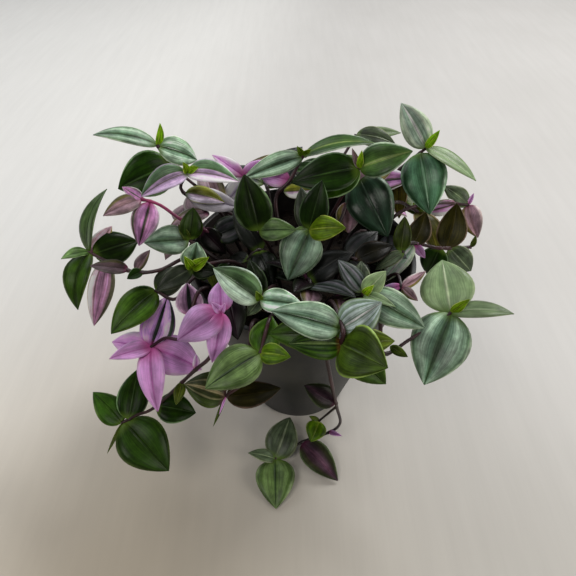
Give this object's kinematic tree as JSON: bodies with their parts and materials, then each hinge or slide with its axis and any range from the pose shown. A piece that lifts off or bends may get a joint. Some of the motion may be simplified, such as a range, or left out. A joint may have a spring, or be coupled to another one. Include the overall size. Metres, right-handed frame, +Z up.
{
  "type": "potted tradescantia",
  "caption": "Bushy tradescantia with trailing stems of pointed green, silver-striped and lilac leaves, rooted in the soil of a tapered dark nursery pot.",
  "frame": {"origin": "centre of the pot's flat foot, on the surface that it stands on", "axes": "+Z is up along the axis of the pot; -Y is the side that the picture is taken from, with the long trailing stem; +X is the right of the picture"},
  "size_m": [0.2854, 0.2318, 0.2187],
  "materials": {
    "pot": "matt dark grey moulded plastic",
    "soil": "crumbly dark brown potting mix",
    "foliage_dark": "softly glossy fleshy leaf",
    "foliage_sage": "softly glossy fleshy leaf",
    "foliage_lilac": "softly glossy fleshy leaf",
    "foliage_olive": "softly glossy fleshy leaf",
    "foliage_green": "softly glossy fleshy leaf",
    "foliage_brown": "softly glossy fleshy leaf",
    "foliage_striped": "softly glossy fleshy leaf"
  },
  "bodies": {
    "root": {"pot": "pot", "soil": "soil", "leafy_stem_rear_left_tall": "foliage_dark", "leafy_stem_left_upper": "foliage_sage", "leafy_stem_left_pink": "foliage_lilac", "leafy_stem_left_low_rear": "foliage_olive", "leafy_stem_left_far": "foliage_green", "leafy_stem_left_front": "foliage_green", "leafy_stem_left_tip": "foliage_sage", "leafy_stem_lilac_left": "foliage_lilac", "leafy_stem_lilac_front": "foliage_lilac", "leafy_stem_sprig_left": "foliage_green", "leafy_stem_front_left": "foliage_green", "leafy_stem_front_low": "foliage_brown", "leafy_stem_centre_left": "foliage_striped", "leafy_stem_front_crown": "foliage_striped", "leafy_stem_front_trailer": "foliage_dark", "leafy_stem_right_spray": "foliage_sage", "leafy_stem_right_front": "foliage_sage", "leafy_stem_right_side": "foliage_brown", "leafy_stem_right_rear": "foliage_olive", "leafy_stem_rear_right_tall": "foliage_sage", "leafy_stem_centre_right_tall": "foliage_dark", "leafy_stem_centre_right": "foliage_dark", "leafy_stem_centre_tall": "foliage_sage", "leafy_stem_rear_top": "foliage_dark", "leafy_stem_middle_left": "foliage_dark", "leafy_stem_middle": "foliage_dark", "leafy_stem_rear_pink": "foliage_lilac", "leafy_stem_right_low": "foliage_lilac", "leafy_stem_right_mid": "foliage_olive", "leafy_stem_rear_1": "foliage_sage", "leafy_stem_rear_2": "foliage_green", "leafy_stem_rear_3": "foliage_dark", "leafy_stem_rear_4": "foliage_lilac", "leafy_stem_rear_5": "foliage_striped", "leafy_stem_rear_7": "foliage_sage", "leafy_stem_low_1": "foliage_dark", "leafy_stem_low_2": "foliage_lilac", "leafy_stem_low_3": "foliage_brown", "leafy_stem_low_4": "foliage_dark", "leafy_stem_low_6": "foliage_brown", "leafy_stem_inner_1": "foliage_dark", "leafy_stem_inner_2": "foliage_brown", "leafy_stem_inner_3": "foliage_striped", "leafy_stem_inner_4": "foliage_dark", "leafy_stem_inner_5": "foliage_lilac"}
  },
  "joints": []
}
